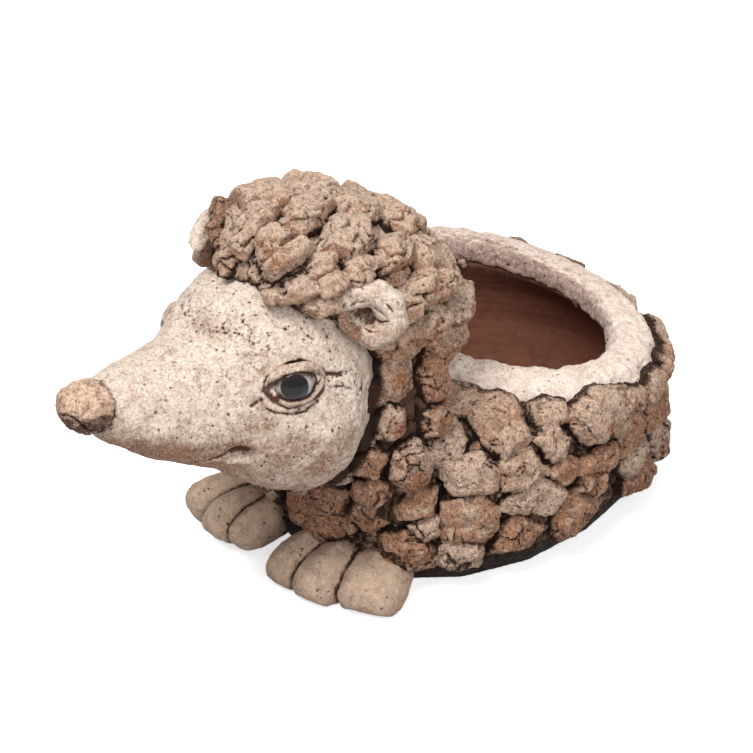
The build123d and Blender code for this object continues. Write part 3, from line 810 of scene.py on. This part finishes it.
bowl_clay = make_bowl_material()
eye_glaze = make_eye_material()

lumps = relief("clay lumps", "CLOUDS", 9 * mm, noise_depth=2)
torn = relief("torn clay", "CLOUDS", 3.2 * mm, noise_depth=3)
crumbs = relief("clay crumbs", "CLOUDS", 1.3 * mm, noise_depth=2)

# Bowl: the wall between the clods is rough slip, and the inside is thrown smooth
inside_bottom = 10 * mm
foot_band = 16 * mm
slip_top = 96 * mm
ring_pitch = 5.2 * mm
ring_depth = 0.07 * mm
bowl_middle = np.array((0, 14 * mm))
rim_middle = bowl_middle + (0, 12 * mm)


def model_bowl():
    bowl = node_copy("pot_bowl")
    recut(bowl, wall_grain, 5)
    normals, height = normals_of(bowl), points_of(bowl)[:, 2]
    inside = ((outward(bowl, bowl_middle) < 0.05) & (height > inside_bottom)).astype(float)
    outside = 1 - inside
    set_mark(bowl, "inside", inside)
    weigh(bowl, "wall", outside * (0.25 + 0.75 * rising(height, 2 * mm, foot_band)) * (height > 1 * mm))
    weigh(bowl, "thrown", inside)
    rub(bowl, 30, "thrown")
    roughen(bowl, (lumps, 3.0 * mm, 0.2, "wall"))
    band = outside * rising(height, foot_band, 6 * mm) * falling(height, slip_top, 8 * mm)
    flake(bowl, 11 * mm, 3.4 * mm, 1.2 * mm, 0.9, None, band)
    roughen(bowl, (torn, 2.6 * mm, 0.35, "wall"), (crumbs, 0.7 * mm, 0.5, "wall"))
    points = points_of(bowl)
    wavy = height + 0.8 * mm * np.sin(points[:, 0] / (17 * mm) + points[:, 1] / (23 * mm))
    ring = ring_depth * inside * np.sin(2 * math.pi * wavy / ring_pitch)
    set_points(bowl, points + normals * ring[:, None])
    wash_shade_and_wear(bowl, 16, 1.1 * mm, 0.8, 0.6)
    set_mark(bowl, "wash", (mark(bowl, "wash") + 0.5) * outside)
    low = falling(height, foot_band + 4 * mm, 9 * mm)
    # Dark foot band outside, and painted shade on the upper part of the inside
    add_mark(bowl, "blush", outside * low + 0.5 * inside * rising(height, 45 * mm, 30 * mm))
    finish_piece(bowl, bowl_clay, "bowl_clay", "pot_bowl")


def model_rim():
    """The rim: pale and lumpy, with a mauve-grey inner face on the animal's right and rear."""
    rim = node_copy("rim_coil")
    recut(rim, skin_grain * 1.1, 16, (lumps, 3.2 * mm), (torn, 1.9 * mm), (crumbs, 0.35 * mm))
    points = points_of(rim)
    inner = np.clip(-outward(rim, rim_middle) * 1.6 - 0.25, 0, 1)
    far = np.clip(0.5 - points[:, 0] / (90 * mm) + (points[:, 1] - rim_middle[1]) / (160 * mm), 0, 1)
    add_mark(rim, "blush", inner * (0.25 + 0.75 * far) + 0.3 * far)
    add_mark(rim, "wash", 0.25 * inner * far)
    wash_shade_and_wear(rim, 14, 1.0 * mm, 0.6)
    prick(rim, 0.5, 160, 0.5 * mm, 0.4 * mm)
    finish_piece(rim, rim_clay, "rim_clay", "rim_coil")


# Clods: rough lumps of clay, with painted shade where they meet what they are pressed on. Those of the mane
# run up and back
mane_way = (0.475, 0.77, 0.41)
wall_nodes = [f"wall_clods_row_{row}" for row in range(1, 6)]

# Crumbs: how many, how often a place is tried, and what each is like. The space is a share of its size
crumb_count = 300
crumb_tries = 6000
crumb_bottom = 14 * mm
crumb_top = 92 * mm
crumb_sizes = (2.6 * mm, 5.5 * mm)
crumb_space = 0.75
crumb_shape = (1, 0.85, 0.6)
beyond_wall = 200 * mm


def shape_clod(solid, step, growth, along=None):
    swell(solid, growth)
    recut(solid, stone_grain, 3, (lumps, 2.6 * mm, 0.45))
    flake(solid, 14 * mm, step, 0.8 * mm, 0.6, along)
    roughen(solid, (torn, 1.5 * mm), (crumbs, 0.6 * mm))


def colour_clod(solid, tree, depth):
    """Wash and painted shade in its hollows, painted shade at the clod's foot, worn edges and a tone of its
    own, and a warm top on some.
    """
    wash_shade_and_wear(solid, 9, 0.9 * mm, 0.75, 0.7)
    wash_shade_and_wear(solid, 40, 2.2 * mm, 0.0, 0.8)
    # Painted shade near the wall that the clod is pressed on
    rise = rise_above(solid, tree)
    add_mark(solid, "wash", 1.3 * np.clip(1 - (rise - 1.5 * mm) / depth, 0, 1))
    set_mark(solid, "tone", dice.random())
    if dice.random() < 0.4:
        top = points_of(solid)[rise.argmax()]
        daub(solid, "blush", [top], dice.uniform(4, 9) * mm, 0.9)


def shade_by_height(piece, low, high):
    """Painted shade, darker towards the ground, and painted light, paler towards the rim."""
    height = points_of(piece)[:, 2]
    pale = rising(height, high, 25 * mm)
    add_mark(piece, "wash", 0.50 * falling(height, low, low))
    add_mark(piece, "wear", 0.55 * pale)
    set_mark(piece, "wash", mark(piece, "wash") * (1 - 0.45 * pale))


def model_stones(node, tree, low, high, crumb_solids=()):
    """A row of stones as one piece, with the crumbs that lie between them."""
    solids = split_solids(node_copy(node))
    for solid in solids:
        shape_clod(solid, 0.9 * mm, 1.7 * mm)
        colour_clod(solid, tree, 5.2 * mm)
    piece = joined(solids + list(crumb_solids), node + "_clay")
    shade_by_height(piece, low, high)
    finish_piece(piece, stone_clay, "clod_clay", node)


def shape_crumb(place, normal, size):
    """A squashed chip that lies on the wall, turned round at random."""
    bpy.ops.mesh.primitive_ico_sphere_add(subdivisions=1, radius=size, location=(0, 0, 0))
    crumb = bpy.context.object
    points = points_of(crumb)
    points = points * dice.uniform(0.7, 1.25, points.shape) * crumb_shape
    spin = dice.uniform(0, 2 * math.pi)
    turn = normal.to_track_quat("Z", "Y").to_matrix()
    along = np.array(turn.col[0]) * math.cos(spin) + np.array(turn.col[1]) * math.sin(spin)
    across = np.cross(np.array(normal), along)
    set_points(crumb, points @ np.array([along, across, np.array(normal)]) + np.array(place))
    # Painted shade under each crumb and painted light on its top
    set_mark(crumb, "wash", 0.5 + 0.4 * (points[:, 2] < 0) - 0.4 * (points[:, 2] > 0.25 * size))
    set_mark(crumb, "tone", dice.random())
    return crumb


def model_crumbs(tree, stones):
    """Small chips of clay pressed on the wall between the clods, in rows from the foot to the rim."""
    rows = [[] for _ in wall_nodes]
    row_height = (crumb_top - crumb_bottom) / len(rows)
    for _ in range(crumb_tries):
        if sum(len(row) for row in rows) == crumb_count:
            break
        angle, height = dice.uniform(0, 2 * math.pi), dice.uniform(crumb_bottom, crumb_top)
        out = Vector((math.cos(angle), math.sin(angle), 0))
        start = Vector((*bowl_middle, height)) + out * beyond_wall
        place, normal = tree.ray_cast(start, -out)[:2]
        size = dice.uniform(*crumb_sizes)
        if place is None or place.z < foot_band:
            continue
        if stones.find_nearest(place + normal * size)[3] < crumb_space * size:
            continue
        row = min(len(rows) - 1, int((height - crumb_bottom) / row_height))
        rows[row].append(shape_crumb(place, normal, size))
    return rows


def contact(piece, nodes, reach, amount):
    """Painted shade, laid on as wash, in the joint where a piece meets others."""
    away = rise_above(piece, carrier(*nodes))
    add_mark(piece, "wash", amount * nearness(away, reach))


# Sides: the left one as it is, and the right one as its mirror image
facing = {"left": (1, 1, 1), "right": (-1, 1, 1)}
eye_parts = ("eyelid_upper_", "eyelid_lower_", "eyeball_")

# Head: places in the photograph's pixels, pressed into the clay where the camera sees them
mouth_pixels = [(136, 463), (169, 464), (201, 463), (219, 458), (231, 453), (240, 450), (251, 452)]
lip_pixels = [(150, 469), (176, 470), (204, 469), (224, 464), (240, 461), (252, 462)]
mouth_pit_pixels = [(236, 455), (247, 456)]
upper_crease_pixels = [
    (258, 396), (272, 378), (286, 366), (299, 361), (311, 365), (320, 373), (338, 374), (355, 368),
]
outer_crease_pixels = [(318, 383), (332, 387), (346, 386), (353, 390)]
lower_crease_pixels = [(262, 406), (275, 413), (291, 415), (306, 411), (318, 401)]
tear_crease_pixels = [(264, 399), (257, 402), (250, 408)]
cracked_pixels = [(336, 378), (350, 380), (360, 388), (205, 322), (220, 330), (238, 332)]
forehead_crack_pixels = [
    [(244, 322), (252, 330), (249, 340), (256, 348)],
    [(270, 318), (276, 327), (288, 330), (292, 338)],
    [(300, 325), (306, 336), (316, 340)],
    [(228, 318), (222, 326), (226, 335), (234, 338)],
    [(210, 330), (220, 334), (230, 331), (241, 335)],
]
mauve_pixels = [(207, 325), (222, 334), (196, 321)]
tan_pixels = [(281, 455), (330, 448), (318, 468), (350, 430), (300, 440)]
shade_pixels = [(150, 455), (180, 452), (230, 440), (255, 430), (270, 420)]
brow_pixels = [(262, 372), (280, 358), (300, 350)]

# Lines on the head: pixels, width and depth in millimetres, and share of wash and painted shade
head_routes = [
    (mouth_pixels, 0.9, 1.2, 0.75),
    (lip_pixels, 1.8, -0.8, 0),
    (upper_crease_pixels, 1.1, 1.0, 0.75),
    (outer_crease_pixels, 0.8, 0.6, 0.35),
    (lower_crease_pixels, 0.9, 0.7, 0.6),
    (tear_crease_pixels, 1.2, 0.9, 0.6),
] + [(pixels, 0.7, 0.5, 0.25) for pixels in forehead_crack_pixels]

# Dabs on both sides of the head: attribute, pixels, radius in millimetres, and amount
head_daubs = [
    # Painted shade in the mouth pits
    ("wash", mouth_pit_pixels, 2.6, 0.85),
    ("blush", tan_pixels, 7, 0.45),
    ("blush", shade_pixels, 9, 0.3),
    ("blush", brow_pixels, 6, 0.25),
]


def model_head():
    head = node_copy("head")
    recut(head, skin_grain, 12, (lumps, 1.4 * mm))
    routes = [
        (seen_points(head, pixels), width * mm, depth * mm, wash)
        for pixels, width, depth, wash in head_routes
    ]
    daubs = [
        (name, seen_points(head, pixels), radius * mm, amount)
        for name, pixels, radius, amount in head_daubs
    ]
    pit, mauve = seen_points(head, mouth_pit_pixels), seen_points(head, mauve_pixels)
    cracked = seen_points(head, cracked_pixels)
    points = points_of(head)
    face = rising(points[:, 2], 95 * mm, 30 * mm)
    back = rising(points[:, 1], -178 * mm, 30 * mm)
    weigh(head, "skin", 0.2 + 0.8 * np.clip(face + back, 0, 1) * (0.3 + 0.7 * back))
    roughen(head, (torn, 0.9 * mm, 0.5, "skin"), (crumbs, 0.55 * mm, 0.5, "skin"))
    points = points_of(head)
    zone = np.zeros(len(points))
    for place in cracked + mirrored(cracked):
        zone = np.maximum(zone, around(points, place, 7 * mm))
    flake(head, 3.4 * mm, 0.7 * mm, 0.55 * mm, 0.7, None, zone)
    for flip in (list, mirrored):
        for route, width, depth, wash in routes:
            press(head, flip(route), width, depth, wash, 0.12)
        dent(head, flip(pit), 3.4 * mm, 2.6 * mm)
        for name, places, radius, amount in daubs:
            daub(head, name, flip(places), radius, amount)
    daub(head, "blush", mauve, 6.5 * mm, 0.45)
    wash_shade_and_wear(head, 8, 0.7 * mm, 0.75, 0.8)
    ahead, upward = points_of(head)[:, 1], normals_of(head)[:, 2]
    # Painted light, paler, on the faces that look up, and painted shade, browner, on the faces that look down
    # and on the sides of the muzzle
    add_mark(head, "wear", 0.5 * rising(upward, 0.25, 0.6))
    add_mark(head, "blush", 0.7 * falling(upward, 0.15, 1))
    add_mark(head, "blush", 0.3 * falling(ahead, -150 * mm, 20 * mm) * falling(upward, 0.7, 1))
    # Painted shade in the joints with the mane, ears, throat, nose and eyes
    contact(head, ["mane_core", "ear_left", "ear_right"], 2.2 * mm, 0.8)
    contact(head, ["throat"], 2 * mm, 0.7)
    contact(head, ["nose"], 1.0 * mm, 0.5)
    contact(head, [part + side for part in eye_parts for side in facing], 0.9 * mm, 0.85)
    prick(head, 0.25 + 0.75 * back, 500, 0.55 * mm, 0.4 * mm)
    finish_piece(head, face_clay, "face_clay", "head")


# Nose: a rough ball, split below by a crease
nose_crease_pixels = [(58, 415), (64, 416), (70, 417), (79, 424), (86, 431), (96, 432)]
nose_stain_pixels = [(66, 422), (76, 430), (90, 428), (104, 418)]


def model_nose():
    nose = node_copy("nose")
    recut(nose, smooth_grain * 0.8, 10, (lumps, 2.2 * mm), (torn, 1.7 * mm), (crumbs, 0.7 * mm))
    press(nose, seen_points(nose, nose_crease_pixels), 1.0 * mm, 1.3 * mm, 0.8)
    daub(nose, "blush", seen_points(nose, nose_stain_pixels), 4.5 * mm, 0.6)
    upward = normals_of(nose)[:, 2]
    # Painted shade, darker and browner, on the faces that look down
    add_mark(nose, "wash", 0.75 * falling(upward, -0.1, 1))
    add_mark(nose, "blush", 0.6 * falling(upward, 0.1, 1))
    wash_shade_and_wear(nose, 8, 0.7 * mm, 0.8, 0.8)
    contact(nose, ["head"], 1.4 * mm, 0.7)
    finish_piece(nose, nose_clay, "nose_clay", "nose")


# Ears: the roll is pale above and brown inside and below, round a hollow with painted shade
ear_middle = np.array((47, -108, 150)) * mm
ear_look = np.array((0.86, -0.42, 0.28)) / math.hypot(0.86, 0.42, 0.28)
ear_hollow = 9 * mm
ear_crease_pixels = [
    [(368, 306), (378, 311), (386, 318)], [(372, 318), (381, 322), (391, 321)],
    [(346, 308), (356, 303), (368, 302)], [(380, 300), (389, 306), (395, 314)],
    [(362, 326), (370, 331), (380, 331)],
]
ear_shift = {"left": np.zeros(3), "right": np.array((0, -5, 5.5)) * mm}


def model_ear(side):
    ear = node_copy("ear_" + side)
    swell(ear, 1.2 * mm)
    recut(ear, smooth_grain * 0.9, 20, (lumps, 1.8 * mm), (torn, 0.8 * mm), (crumbs, 0.4 * mm))
    if side == "left":
        for pixels in ear_crease_pixels:
            press(ear, seen_points(ear, pixels), 0.7 * mm, 0.7 * mm, 0.6)
    look = ear_look * facing[side]
    spokes = points_of(ear) - (ear_middle * facing[side] + ear_shift[side])
    height = spokes @ look
    across = np.linalg.norm(spokes - height[:, None] * look, axis=1)
    hollow = falling(across, ear_hollow, 3 * mm) * falling(height, 1.5 * mm, 3 * mm)
    # Painted shade in the hollow of the ear
    add_mark(ear, "wash", 0.8 * hollow * (height > -ear_hollow))
    ring = nearness(across - ear_hollow, 2.6 * mm) * falling(height, 4 * mm, 4 * mm)
    below = falling(spokes[:, 2], 4 * mm, 10 * mm)
    add_mark(ear, "blush", 0.7 * ring + 0.5 * below)
    # More painted shade over the inner side of the ear
    add_mark(ear, "wash", 0.15 * falling(across, ear_hollow + 2 * mm, 4 * mm) * (height < 3 * mm))
    wash_shade_and_wear(ear, 8, 0.7 * mm, 0.8, 0.9)
    contact(ear, ["head", "mane_core"], 1.8 * mm, 0.75)
    finish_piece(ear, face_clay, "face_clay", "ear_" + side)


# Eyes: the way that the left one looks, and how much further the lids are rolled back
eye_look = Vector((0.86, -0.5, 0.1)).normalized()
lid_opening = 1.15


def roll_back(lid, side):
    """Turns the points of a lid away from the middle of the eye, round the ball."""
    low, high = (np.array(corner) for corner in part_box("eyeball_" + side))
    look = np.array(eye_look) * facing[side]
    middle = (low + high) / 2
    spokes = points_of(lid) - middle
    reach = np.linalg.norm(spokes, axis=1)
    ahead = spokes @ look
    flat = spokes - ahead[:, None] * look
    wide = np.linalg.norm(flat, axis=1)
    angle = np.arctan2(wide, ahead) * lid_opening
    turned = (reach * np.cos(angle))[:, None] * look + flat * (reach * np.sin(angle) / wide)[:, None]
    set_points(lid, middle + turned)


def model_lid(part, side):
    lid = node_copy(part + side)
    roll_back(lid, side)
    swell(lid, 0.2 * mm)
    recut(lid, lid_grain, 8, (torn, 0.5 * mm))
    contact(lid, ["eyeball_" + side], 0.8 * mm, 1.0)
    add_mark(lid, "blush", 0.45)
    wash_shade_and_wear(lid, 6, 0.5 * mm, 0.5, 0.7)
    finish_piece(lid, face_clay, "face_clay", part + side)


def model_eyeball(side):
    ball = node_copy("eyeball_" + side, "_glaze")
    recut(ball, lid_grain, 12)
    contact(ball, ["eyelid_upper_" + side, "eyelid_lower_" + side], 1.5 * mm, 1.0)
    finish_piece(ball, eye_glaze, "eye_glaze", "eyeball_" + side)


def model_toe(node, others):
    toe = node_copy(node)
    recut(toe, smooth_grain, 26, (lumps, 1.2 * mm), (torn, 0.35 * mm))
    points = points_of(toe)
    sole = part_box(node)[0][2]
    set_points(toe, np.column_stack((points[:, :2], np.maximum(points[:, 2], sole))))
    wash_shade_and_wear(toe, 10, 0.8 * mm, 0.6, 0.5)
    # Painted shade in the joints with the other toes and near the bowl, and browner towards the bottom
    contact(toe, others, 1.6 * mm, 0.7)
    contact(toe, ["pot_bowl"], 6 * mm, 0.5)
    add_mark(toe, "blush", 0.7 * falling(points[:, 2], 7 * mm, 7 * mm))
    prick(toe, 0.5, 24, 0.6 * mm, 0.6 * mm)
    finish_piece(toe, paw_clay, "paw_clay", node)


# Mane: the hole in it, painted dark as shade, and its outline in the photograph, where the real one is
# slimmer
hole_pixels = [(272, 270), (279, 272), (285, 266)]
mane_side_pixels = [(199, 206), (200, 220), (203, 234), (207, 248), (212, 196)]
mane_top_pixels = [(228, 186), (270, 180), (300, 178), (360, 188)]
mane_nodes = ["mane_core", "mane_locks_front", "mane_locks_crown", "mane_locks_back"]
mane_middle = Vector((5, -95, 130)) * mm
outline_reach = 15 * mm
side_step = 9 * mm
top_step = 4 * mm


def ease_in(piece, places):
    """Draws the mane's outline in where the real one is slimmer."""
    points = points_of(piece)
    inwards = np.array(mane_middle) - points
    inwards /= np.linalg.norm(inwards, axis=1)[:, None]
    pull = np.zeros(len(points))
    for place, step in places:
        pull = np.maximum(pull, step * around(points, place, outline_reach))
    set_points(piece, points + inwards * pull[:, None])


def paint_light_and_shade(piece):
    """Painted light makes the upper faces paler; painted shade darkens the animal's right side in front and
    warms the faces that don't look up.
    """
    points = points_of(piece)
    lit = rising(normals_of(piece)[:, 2], 0.1, 0.7)
    painted_shade_side = falling(points[:, 0], 2 * mm, 14 * mm) * falling(points[:, 1], -105 * mm, 12 * mm)
    add_mark(piece, "wear", 0.5 * lit * (1 - painted_shade_side))
    set_mark(piece, "wash", mark(piece, "wash") * (1 - 0.35 * lit) + 0.28 * painted_shade_side)
    set_mark(piece, "tone", mark(piece, "tone") * 0.7 + 0.3 * (1 - lit))


def model_locks(node, tree, outline):
    solids = split_solids(node_copy(node))
    for solid in solids:
        shape_clod(solid, 1.5 * mm, 2.1 * mm, mane_way)
        colour_clod(solid, tree, 5.0 * mm)
    piece = joined(solids, node + "_clay")
    ease_in(piece, outline)
    paint_light_and_shade(piece)
    finish_piece(piece, mane_clay, "mane_clay", node)


def model_mane_core(outline):
    core = node_copy("mane_core")
    swell(core, 0.8 * mm)
    recut(core, skin_grain, 5)
    ears = rise_above(core, carrier("ear_left", "ear_right"))
    weigh(core, "clear", rising(ears, 2 * mm, 6 * mm))
    roughen(core, (lumps, 5 * mm, 0.3, "clear"))
    flake(core, 12 * mm, 2.4 * mm, 1.2 * mm, 0.8, mane_way)
    roughen(core, (torn, 1.8 * mm), (crumbs, 0.7 * mm))
    ease_in(core, outline)
    # Painted shade in the hole
    daub(core, "wash", seen_points(core, hole_pixels), 4 * mm, 0.9)
    wash_shade_and_wear(core, 9, 0.9 * mm, 0.8, 0.8)
    wash_shade_and_wear(core, 50, 3.0 * mm, 0.6, 0.6)
    contact(core, ["head", "ear_left", "ear_right"], 3 * mm, 0.8)
    contact(core, mane_nodes[1:], 1.6 * mm, 0.6)
    set_mark(core, "tone", 0.5)
    paint_light_and_shade(core)
    finish_piece(core, mane_clay, "mane_clay", "mane_core")


def model_throat():
    throat = node_copy("throat")
    swell(throat, 1.0 * mm)
    recut(throat, skin_grain * 1.1, 5, (lumps, 3 * mm, 0.4))
    flake(throat, 11 * mm, 2.6 * mm, 1.2 * mm, 0.9, (0, 0, 1))
    roughen(throat, (torn, 1.6 * mm), (crumbs, 0.6 * mm))
    wash_shade_and_wear(throat, 12, 1.0 * mm, 0.9, 0.8)
    shade_by_height(throat, 110 * mm, 120 * mm)
    finish_piece(throat, throat_clay, "mane_clay", "throat")


model_bowl()
model_rim()
model_head()
model_nose()
pressed_on = carrier(*wall_nodes, "neck_clods", "throat", "head", "rim_coil")
crumb_rows = model_crumbs(carrier("pot_bowl"), pressed_on)
wall = carrier("pot_bowl", "rim_coil")
for node, crumb_row in zip(wall_nodes, crumb_rows):
    model_stones(node, wall, 45 * mm, 66 * mm, crumb_row)
model_stones("neck_clods", carrier("throat", "head", "pot_bowl"), 120 * mm, 150 * mm)
mane_solids = carrier(*mane_nodes)
mane_outline = []
for pixels, step in ((mane_side_pixels, side_step), (mane_top_pixels, top_step)):
    mane_outline += [(place, step) for place in seen_on(mane_solids, pixels)]
for node in mane_nodes[1:]:
    model_locks(node, carrier("mane_core", "head"), mane_outline)
model_mane_core(mane_outline)
model_throat()
for side in facing:
    model_ear(side)
for side in facing:
    model_lid("eyelid_upper_", side)
    model_lid("eyelid_lower_", side)
    model_eyeball(side)
    toes = [f"toe_{side}_{number}" for number in (1, 2, 3)]
    for node in toes:
        model_toe(node, [other for other in toes if other != node])
